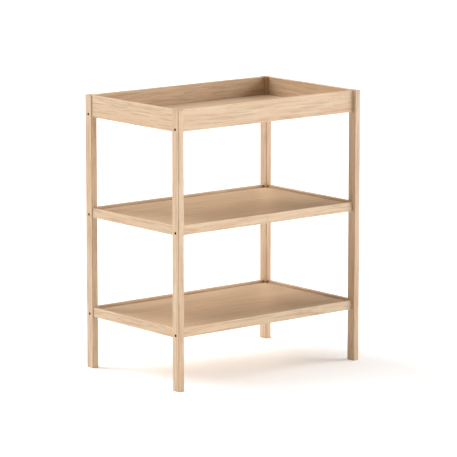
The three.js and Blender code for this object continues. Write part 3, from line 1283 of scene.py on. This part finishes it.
class Mill:
    """Mills boards from beech, by one Geometry Nodes tree."""

    TAPER = 0.93  # a countersink's narrow end beside its wide one

    def __init__(self, finish: Beech, arc_steps: int = 6, hole_steps: int = 48) -> None:
        """Builds the tree.

        Args:
            finish: the finish of all boards.
            arc_steps: steps in a quarter round of an arris or an end.
            hole_steps: sides of a drilled hole.
        """
        self.finish = finish
        sizes = ("Length", "Width", "Thickness", "Arris", "End Round")
        tree = GeometryTree(
            "milled_board",
            {
                **{name: "NodeSocketFloat" for name in sizes},
                **{name: "NodeSocketVector" for name in ("Centre", "Turn")},
            },
        )
        blank = tree.place(self._blank(tree, arc_steps), tree.given["Centre"], tree.given["Turn"])
        work = tree.named("work", "INT")
        shapes = {
            Work.DRILL: tree.cylinder(0.5, 1.0, hole_steps),
            Work.POCKET: tree.block((1.0, 1.0, 1.0)),
            Work.COUNTERSINK: tree.cone(0.5, 0.5 * self.TAPER, 1.0, hole_steps),
            Work.TENON: tree.block((1.0, 1.0, 1.0)),
        }
        tools = {
            kind: tree.at_marks(shape, tree.maths("COMPARE", work, int(kind), 0.5))
            for kind, shape in shapes.items()
        }
        board = tree.union(blank, tools.pop(Work.TENON))
        tree.end(tree.cut(board, *tools.values()))
        self.tree = tree

    def _blank(self, tree: GeometryTree, arc_steps: int) -> Field:
        """A board along Z about the origin, rounded along its edges and round its ends.

        Args:
            tree: the tree that it is built in.
            arc_steps: steps in a quarter round.

        Returns:
            The board.
        """
        given = tree.given
        inputs = {"Width": given["Width"], "Height": given["Thickness"]}
        section = tree.add("GeometryNodeCurvePrimitiveQuadrilateral", inputs=inputs)["Curve"]
        inputs = {"Curve": section, "Count": arc_steps, "Radius": given["Arris"]}
        rounded = tree.add("GeometryNodeFilletCurve", {"mode": "POLY"}, inputs)["Curve"]

        last = 2 * arc_steps + 1
        index = tree.add("GeometryNodeInputIndex")["Index"]
        from_end = tree.maths("MINIMUM", index, last - index)
        angle = from_end * (QUARTER / arc_steps)
        depth = given["End Round"] * (1.0 - tree.maths("COSINE", angle))
        inset = given["End Round"] * (1.0 - tree.maths("SINE", angle))
        height = tree.maths("SIGN", index - last / 2) * (given["Length"] / 2 - depth)
        inputs = {"Geometry": tree.spaced_path(last + 1, height), "Name": "inset", "Value": inset}
        settings = {"data_type": "FLOAT", "domain": "POINT"}
        path = tree.add("GeometryNodeStoreNamedAttribute", settings, inputs)["Geometry"]
        inputs = {"Curve": path, "Profile Curve": rounded, "Fill Caps": True}
        swept = tree.add("GeometryNodeCurveToMesh", inputs=inputs)["Mesh"]
        x, y, _ = tree.split(tree.add("GeometryNodeInputPosition")["Position"])
        pull = -tree.named("inset", "FLOAT")
        offset = tree.combine(tree.maths("SIGN", x) * pull, tree.maths("SIGN", y) * pull, 0.0)
        inputs = {"Geometry": swept, "Offset": offset}
        return tree.add("GeometryNodeSetPosition", inputs=inputs)["Geometry"]

    def board(
        self,
        node: str,
        grain: Axis,
        body: Box,
        marks: Iterable[Mark],
        arris: float,
        end_round: float,
    ) -> None:
        """Mills one board and ties it to the frame.

        Args:
            node: the CAD node that it stands for.
            grain: the axis that it lies along.
            body: its box without its tenons.
            marks: the work to be done on it.
            arris: radius of its long edges.
            end_round: radius of the edges round its ends.
        """
        width, thickness = (body.size[side] for side in grain.section)
        piece = self.tree.run(
            f"{node}_board",
            marks,
            length=body.size[grain.value],
            width=width,
            thickness=thickness,
            arris=arris,
            end_round=end_round,
            centre=tuple(body.centre),
            turn=grain.laid,
            material=self.finish.material(node, grain, body),
        )
        settle(piece, [node])


# ---------------------------------------------------------------------------------------------
# Sub-assemblies
# ---------------------------------------------------------------------------------------------


@dataclass
class Boards:
    """Boards that are milled alike.

    Attributes:
        mill: what they are milled by.
        joinery: the joints that they take.
        arris: radius of their long edges.
        end_round: radius of the edges round their ends, or round their shoulders.
    """

    mill: Mill
    joinery: Joinery
    arris: float = 1.5 * MM
    end_round: float = 0.4 * MM


@dataclass
class Legs(Boards):
    """The four legs."""

    arris: float = 2.5 * MM
    end_round: float = 1.0 * MM

    def build(self) -> None:
        """Mills all four."""
        for corner in Corner:
            node = f"leg_{corner.value}"
            body = Box.of(node)
            self.mill.board(node, Axis.Z, body, self._marks(corner), self.arris, self.end_round)

    def _marks(self, corner: Corner) -> list[Mark]:
        """The holes and mortises of one leg.

        Args:
            corner: the corner that it stands at.

        Returns:
            Their marks.
        """
        marks = []
        side = "right" if corner.side_x > 0 else "left"
        for tier in Tier:
            marks += self.joinery.counterbore(tier, corner)
            marks.append(self.joinery.bolt_hole(tier, corner))
            marks.append(self.joinery.dowel_hole(tier, corner))
            marks.append(self.joinery.mortise(tier.node(f"rail_{side}")))
        return marks


@dataclass
class LongRails(Boards):
    """The six rails along the front and the back."""

    def build(self) -> None:
        """Mills all six."""
        for tier in Tier:
            for side, side_y in (("front", -1), ("back", 1)):
                node = tier.node(f"rail_{side}")
                body = Box.of(node)
                marks = self._marks(tier, side_y, node)
                self.mill.board(node, Axis.X, body, marks, self.arris, self.end_round)

    def _marks(self, tier: Tier, side_y: int, node: str) -> list[Mark]:
        """The groove of one rail and the holes in its two ends.

        Args:
            tier: the tier that it is in.
            side_y: -1 for the front rail, 1 for the back one.
            node: its node.

        Returns:
            Their marks.
        """
        half = Box.of(node).high.x + self.joinery.gap - self.joinery.groove_stop
        marks = [self.joinery.groove(node, tier.node("panel"), Axis.X, half)]
        for corner in (corner for corner in Corner if corner.side_y == side_y):
            marks.append(self.joinery.bolt_hole(tier, corner))
            marks.append(self.joinery.dowel_hole(tier, corner))
            marks += self.joinery.nut_hole(tier, corner)
        return marks


@dataclass
class EndRails(Boards):
    """The six rails across the left and right ends."""

    def build(self) -> None:
        """Mills all six."""
        half = Box.of(f"leg_{Corner.BACK_LEFT.value}").low.y - self.joinery.gap
        for tier in Tier:
            for side in ("left", "right"):
                node = tier.node(f"rail_{side}")
                body = Box.of(node).spanning(Axis.Y, -half, half)
                marks = [
                    Mark.block(self.joinery.tenon(node), Work.TENON),
                    self.joinery.groove(node, tier.node("panel"), Axis.Y, half + NUDGE),
                ]
                self.mill.board(node, Axis.Y, body, marks, self.arris, self.end_round)


@dataclass
class Panels:
    """The floor of the tray and the two shelves, notched round the legs and the stopped grooves.

    Attributes:
        finish: their finish.
        joinery: the joints that they take.
        edge: width of the bevel along their edges.
    """

    finish: BeechVeneer
    joinery: Joinery
    edge: float = 0.4 * MM

    def build(self) -> None:
        """Cuts all three."""
        for tier in Tier:
            node = tier.node("panel")
            box = Box.of(node)
            mesh = bpy.data.meshes.new(f"{node}_board")
            outline = [(x, y, box.centre.z) for x, y in self._outline(tier, box)]
            mesh.from_pydata(outline, [], [tuple(range(len(outline)))])
            half_x = Box.of(tier.node("rail_right")).low.x
            half_y = Box.of(tier.node("rail_back")).low.y
            mesh.materials.append(self.finish.material(node, half_x, half_y))
            piece = linked(mesh.name, mesh)
            thicken = piece.modifiers.new("thickness", "SOLIDIFY")
            thicken.thickness = box.size.z
            thicken.offset = 0.0
            ease = piece.modifiers.new("edges", "BEVEL")
            ease.width = self.edge
            ease.segments = 2
            even_shading(piece)
            settle(piece, [node])

    def _outline(self, tier: Tier, box: Box) -> list[tuple[float, float]]:
        """The outline of one panel, anticlockwise.

        Args:
            tier: the tier that it is in.
            box: its own box.

        Returns:
            The corners of the outline.
        """
        leg = Box.of(f"leg_{Corner.BACK_RIGHT.value}")
        gap = self.joinery.gap
        leg_x, leg_y = leg.low.x - gap, leg.low.y - gap
        rail_y = Box.of(tier.node("rail_back")).low.y - gap
        stop_x = leg.low.x - self.joinery.groove_stop - gap
        corner = [
            (box.high.x, leg_y),
            (leg_x, leg_y),
            (leg_x, rail_y),
            (stop_x, rail_y),
            (stop_x, box.high.y),
        ]
        back = corner[::-1]
        return [
            *corner,
            *((-x, y) for x, y in back),
            *((-x, -y) for x, y in corner),
            *((x, -y) for x, y in back),
        ]


def fittings(kind: str) -> dict[str, Corner]:
    """The nodes of the twelve fittings of one kind, each with the corner that it is at."""
    return {tier.node(f"{kind}_{corner.value}"): corner for tier in Tier for corner in Corner}


def chamfered(radius: float, half: float, chamfer: float) -> list[tuple[float, float]]:
    """The profile of an upright round bar about the origin, with chamfered ends.

    Args:
        radius: the bar's radius.
        half: half its height.
        chamfer: width of its chamfers.

    Returns:
        The height and radius of each ring, from the lowest up.
    """
    return [
        (-half, radius - chamfer),
        (-half + chamfer, radius),
        (half - chamfer, radius),
        (half, radius - chamfer),
    ]


@dataclass
class Bolts:
    """The twelve socket head bolts.

    Attributes:
        finish: their finish.
        shank: radius of the plain shank.
        core: radius of the core inside the thread.
        head: radius of the head.
        head_height: height of the head.
        length: length under the head.
        threaded: length of the thread.
        pitch: pitch of the thread.
        key: width of the key that fits the socket.
        key_depth: depth of the socket.
        ease: width of the chamfers.
        knurl: depth of the knurl round the head.
        steps: sides of a turned surface.
        thread_steps: points in one turn of the thread.
    """

    finish: BlackOxide
    shank: float = 2.5 * MM
    core: float = 2.1 * MM
    head: float = 4.0 * MM
    head_height: float = 4.8 * MM
    length: float = 55 * MM
    threaded: float = 22 * MM
    pitch: float = 0.8 * MM
    key: float = 4 * MM
    key_depth: float = 2.5 * MM
    ease: float = 0.35 * MM
    knurl: float = 0.12 * MM
    steps: int = 48
    thread_steps: int = 14

    def build(self) -> None:
        """Makes all twelve as one piece."""
        tree = GeometryTree("socket_head_bolt")
        tree.end(tree.at_marks(self._bolt(tree)), sharp_angle=math.radians(40))
        marks = {}
        for node, corner in fittings("bolt").items():
            box = Box.of(node)
            tip, outer = sorted((box.low.x, box.high.x), key=abs)
            under_head = outer - corner.side_x * self.head_height
            place = Vector((under_head, box.centre.y, box.centre.z))
            marks[node] = Mark(place, toward=Vector((tip - outer, 0.0, 0.0)))
        piece = tree.run("socket_head_bolts", marks.values(), material=self.finish.material())
        settle(piece, list(marks))

    def _bolt(self, tree: GeometryTree) -> Field:
        """One bolt, with the underside of its head at the origin and its shank up Z.

        Args:
            tree: the tree that it is built in.

        Returns:
            The bolt.
        """
        top, ease = -self.head_height, self.ease
        sliver = 0.05 * ease
        thread_start = self.length - self.threaded
        profile = [
            (top, self.head - ease),
            (top + 0.3 * ease, self.head - 0.3 * ease),
            (top + ease, self.head),
            (top + 2 * ease, self.head),
            (-2 * ease, self.head),
            (-ease, self.head),
            (-sliver, self.head - ease),
            (0.0, self.shank + ease / 2),
            (ease / 2, self.shank),
            (thread_start, self.shank),
            (thread_start + ease, self.core),
            (self.length - ease, self.core),
            (self.length, self.core - ease),
        ]
        turned = tree.turned(profile, self.steps)
        knurled = tree.fluted(turned, self.steps // 2, self.knurl, top + 1.5 * ease, -1.5 * ease)
        inputs = {"Resolution": 4, "Radius": self.shank - self.core}
        inputs = {
            "Curve": tree.place(self._helix(tree), (0.0, 0.0, thread_start + ease)),
            "Profile Curve": tree.add("GeometryNodeCurvePrimitiveCircle", inputs=inputs)["Curve"],
            "Fill Caps": True,
        }
        bead = tree.add("GeometryNodeCurveToMesh", inputs=inputs)["Mesh"]
        corners = self.key / math.sqrt(3)
        socket = tree.place(tree.cylinder(corners, 2 * self.key_depth, 6), (0.0, 0.0, top))
        lead = tree.cone(corners + ease, corners - ease, 2 * ease, self.steps)
        lead_in = tree.place(lead, (0.0, 0.0, top - ease / 2))
        return tree.cut(tree.union(knurled, bead), socket, lead_in)

    def _helix(self, tree: GeometryTree) -> Field:
        """The path of the thread, up Z from the origin.

        Args:
            tree: the tree that it is built in.

        Returns:
            The path.
        """
        height = self.threaded - self.pitch - self.shank + self.core
        inputs = {
            "Resolution": self.thread_steps,
            "Rotations": height / self.pitch,
            "Start Radius": self.core,
            "End Radius": self.core,
            "Height": height,
        }
        return tree.add("GeometryNodeCurveSpiral", inputs=inputs)["Curve"]


@dataclass
class BarrelNuts:
    """The twelve upright barrel nuts.

    Attributes:
        finish: their finish.
        radius: radius of the barrel.
        height: height of the barrel.
        bore: radius of the cross hole.
        slot: width and depth of the slot in the lower end.
        ease: width of the chamfer round its ends.
        steps: sides of a turned surface.
    """

    finish: ZincPlate
    radius: float = 4.0 * MM
    height: float = 12 * MM
    bore: float = 2.8 * MM
    slot: float = 1.2 * MM
    ease: float = 0.4 * MM
    steps: int = 48

    def build(self) -> None:
        """Makes all twelve as one piece."""
        tree = GeometryTree("barrel_nut")
        tree.end(tree.at_marks(self._nut(tree)), sharp_angle=math.radians(40))
        nodes = list(fittings("nut"))
        marks = [Mark(Box.of(node).centre) for node in nodes]
        piece = tree.run("barrel_nuts", marks, material=self.finish.material())
        settle(piece, nodes)

    def _nut(self, tree: GeometryTree) -> Field:
        """One nut about the origin, with its cross hole along X.

        Args:
            tree: the tree that it is built in.

        Returns:
            The nut.
        """
        half = self.height / 2
        profile = chamfered(self.radius, half, self.ease)
        bore = tree.cylinder(self.bore, 4 * self.radius, self.steps)
        across = tree.place(bore, (0.0, 0.0, 0.0), Axis.X.laid)
        slot = tree.block((4 * self.radius, self.slot, 2 * self.slot))
        low_slot = tree.place(slot, (0.0, 0.0, -half))
        return tree.cut(tree.turned(profile, self.steps), across, low_slot)


@dataclass
class Dowels:
    """The twelve fluted dowels.

    Attributes:
        finish: their finish.
        radius: radius of a dowel.
        chamfer: width of the chamfer round its ends.
        flutes: how many flutes it has.
        flute_depth: how deep they are.
    """

    finish: RawBirch
    radius: float = 3.0 * MM
    chamfer: float = 0.8 * MM
    flutes: int = 16
    flute_depth: float = 0.25 * MM

    def build(self) -> None:
        """Makes all twelve as one piece."""
        nodes = list(fittings("dowel"))
        half = Box.of(nodes[0]).size.x / 2
        tree = GeometryTree("fluted_dowel")
        turned = tree.turned(chamfered(self.radius, half, self.chamfer), 4 * self.flutes)
        low, high = self.chamfer / 2 - half, half - self.chamfer / 2
        fluted = tree.fluted(turned, self.flutes, self.flute_depth, low, high)
        tree.end(tree.at_marks(fluted), sharp_angle=math.radians(50))
        marks = [Mark(Box.of(node).centre, toward=Vector(Axis.X.unit)) for node in nodes]
        piece = tree.run("fluted_dowels", marks, material=self.finish.material())
        settle(piece, nodes)


# ---------------------------------------------------------------------------------------------
# Studio
# ---------------------------------------------------------------------------------------------


@dataclass(frozen=True)
class SoftLight:
    """A wide soft light from far away.

    Attributes:
        name: what it is.
        bearing: where it stands, in degrees anticlockwise from the front, seen from above.
        elevation: how high it stands, in degrees.
        spread: how wide it is, in degrees.
        strength: how strong it is.
    """

    name: str
    bearing: float
    elevation: float
    spread: float
    strength: float

    def light(self) -> None:
        """Puts it up."""
        data = bpy.data.lights.new(self.name, "SUN")
        data.angle = math.radians(self.spread)
        data.energy = self.strength
        lamp = bpy.data.objects.new(self.name, data)
        tilt = math.radians(90 - self.elevation)
        lamp.rotation_euler = (tilt, 0.0, math.radians(self.bearing))
        bpy.context.scene.collection.objects.link(lamp)


@dataclass
class Studio:
    """The pale floor, the soft light all round and the camera.

    Attributes:
        camera_place: where the camera stands.
        heading: how far the camera is turned from +Y towards +X, in degrees.
        pitch: how far it looks down, in degrees.
        lens: its focal length in millimetres.
        floor_radius: radius of the floor.
        floor_colour: colour of the floor.
        floor_glow: how much light the floor gives by itself.
        sky: brightness of the light all round.
        lights: the lights besides.
    """

    camera_place: Triple = (-6.3012, -7.7192, 2.2059)
    heading: float = 39.315
    pitch: float = 10.073
    lens: float = 252.36
    floor_radius: float = 60.0
    floor_colour: Triple = (0.92, 0.92, 0.92)
    floor_glow: float = 0.22
    sky: float = 0.14
    lights: tuple[SoftLight, ...] = (
        SoftLight("front_right", 58.5, 13.0, 42.0, 3.35),
        SoftLight("back_left", -153.0, 35.0, 40.0, 2.8),
        SoftLight("left_high", -125.0, 50.0, 50.0, 0.85),
        SoftLight("overhead", 0.0, 88.0, 60.0, 1.15),
    )

    def build(self) -> None:
        """Sets everything up."""
        self._floor()
        self._sky()
        for light in self.lights:
            light.light()
        self._camera()
        LOG.info("studio: floor, sky, %d lights and camera", len(self.lights))

    def _floor(self) -> None:
        """Lays the floor."""
        sheet = bmesh.new()
        bmesh.ops.create_circle(sheet, cap_ends=True, segments=128, radius=self.floor_radius)
        mesh = bpy.data.meshes.new("studio_floor")
        sheet.to_mesh(mesh)
        sheet.free()
        g = ShaderGraph("studio_floor")
        grain = g.noise(g.add("ShaderNodeTexCoord")["Object"], 60.0)
        darker = tuple(0.99 * part for part in self.floor_colour)
        mesh.materials.append(
            g.finish(
                Base_Color=g.mix(grain, self.floor_colour, darker),
                Roughness=0.8 + (grain - 0.5) * 0.1,
                Emission_Color=(1.0, 1.0, 1.0, 1.0),
                Emission_Strength=self.floor_glow,
            )
        )
        linked("studio_floor", mesh)

    def _sky(self) -> None:
        """Lights the scene evenly from all round."""
        world = bpy.data.worlds.new("studio_sky")
        world.use_nodes = True
        g = Graph(world.node_tree)
        inputs = {"Color": (1.0, 1.0, 1.0, 1.0), "Strength": self.sky}
        light = g.add("ShaderNodeBackground", inputs=inputs)["Background"]
        g.add("ShaderNodeOutputWorld", inputs={"Surface": light})
        bpy.context.scene.world = world

    def _camera(self) -> None:
        """Stands the camera up."""
        data = bpy.data.cameras.new("camera")
        data.lens = self.lens
        data.clip_end = 2 * self.floor_radius
        camera = bpy.data.objects.new("camera", data)
        camera.location = self.camera_place
        tilt, turn = math.radians(90 - self.pitch), math.radians(-self.heading)
        camera.rotation_euler = (tilt, 0.0, turn)
        scene = bpy.context.scene
        scene.collection.objects.link(camera)
        scene.camera = camera
        scene.view_settings.view_transform = "Standard"


def main() -> None:
    """Builds the studio and the looks of the table."""
    logging.basicConfig(level=logging.INFO, format="%(name)s: %(message)s")
    joinery = Joinery()
    mill = Mill(Beech())
    Studio().build()
    Legs(mill, joinery).build()
    LongRails(mill, joinery).build()
    EndRails(mill, joinery).build()
    Panels(BeechVeneer(), joinery).build()
    Bolts(BlackOxide()).build()
    BarrelNuts(ZincPlate()).build()
    Dowels(RawBirch()).build()


if __name__ == "__main__":
    main()
